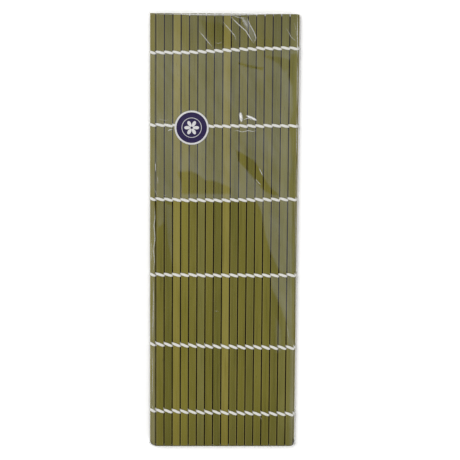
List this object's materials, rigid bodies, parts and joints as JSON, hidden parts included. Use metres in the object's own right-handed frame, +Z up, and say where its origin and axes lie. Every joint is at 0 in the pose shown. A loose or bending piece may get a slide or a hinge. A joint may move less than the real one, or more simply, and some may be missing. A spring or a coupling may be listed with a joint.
{
  "type": "sushi rolling mat",
  "caption": "Bamboo sushi rolling mat of 51 slats tied with twine, folded in three in a clear film sleeve. It slides out and unfolds flat.",
  "frame": {"origin": "centre of the sleeve's underside, which lies on the surface", "axes": "+X across the slats to the right, +Y along the slats towards the sleeve's open end, +Z up"},
  "size_m": [0.0936, 0.2724, 0.0095],
  "materials": {
    "bamboo": "satin, fine lengthwise fibres",
    "cotton_twine": "matt twisted cotton",
    "clear_film": "glossy, slightly creased",
    "label_paper": "satin printed paper"
  },
  "bodies": {
    "bottom_layer": {"slat_01": "bamboo", "slat_02": "bamboo", "slat_03": "bamboo", "slat_04": "bamboo", "slat_05": "bamboo", "slat_06": "bamboo", "slat_07": "bamboo", "slat_08": "bamboo", "slat_09": "bamboo", "slat_10": "bamboo", "slat_11": "bamboo", "slat_12": "bamboo", "slat_13": "bamboo", "slat_14": "bamboo", "slat_15": "bamboo", "twine_row_1": "cotton_twine", "twine_row_2": "cotton_twine", "twine_row_3": "cotton_twine", "twine_row_4": "cotton_twine", "twine_row_5": "cotton_twine", "twine_row_6": "cotton_twine"},
    "middle_layer": {"slat_16": "bamboo", "slat_17": "bamboo", "slat_18": "bamboo", "slat_19": "bamboo", "slat_20": "bamboo", "slat_21": "bamboo", "slat_22": "bamboo", "slat_23": "bamboo", "slat_24": "bamboo", "slat_25": "bamboo", "slat_26": "bamboo", "slat_27": "bamboo", "slat_28": "bamboo", "slat_29": "bamboo", "slat_30": "bamboo", "slat_31": "bamboo", "slat_32": "bamboo", "slat_33": "bamboo"},
    "top_layer": {"slat_34": "bamboo", "slat_35": "bamboo", "slat_36": "bamboo", "slat_37": "bamboo", "slat_38": "bamboo", "slat_39": "bamboo", "slat_40": "bamboo", "slat_41": "bamboo", "slat_42": "bamboo", "slat_43": "bamboo", "slat_44": "bamboo", "slat_45": "bamboo", "slat_46": "bamboo", "slat_47": "bamboo", "slat_48": "bamboo", "slat_49": "bamboo", "slat_50": "bamboo", "slat_51": "bamboo"},
    "sleeve": {"sleeve_back": "clear_film", "sleeve_front": "clear_film", "label": "label_paper"}
  },
  "joints": [
    {"name": "unfold", "type": "hinge", "parent": "bottom_layer", "child": "middle_layer", "pos_m": [0.04616, 0, 0.00302], "axis": [0, 1, 0], "range_deg": [0, 180], "deforming": ["twine_row_1", "twine_row_2", "twine_row_3", "twine_row_4", "twine_row_5", "twine_row_6", "sleeve_front", "label"]},
    {"name": "left_fold", "type": "hinge", "parent": "middle_layer", "child": "top_layer", "pos_m": [-0.04564, 0, 0.00542], "axis": [0, -1, 0], "range_deg": [0, 180.01]},
    {"name": "sleeve_slide", "type": "slide", "parent": "bottom_layer", "child": "sleeve", "axis": [0, -1, 0], "range_m": [0, 0.29]}
  ],
  "couplings": [
    {"joint": "left_fold", "follows": "unfold", "ratio": 1}
  ]
}
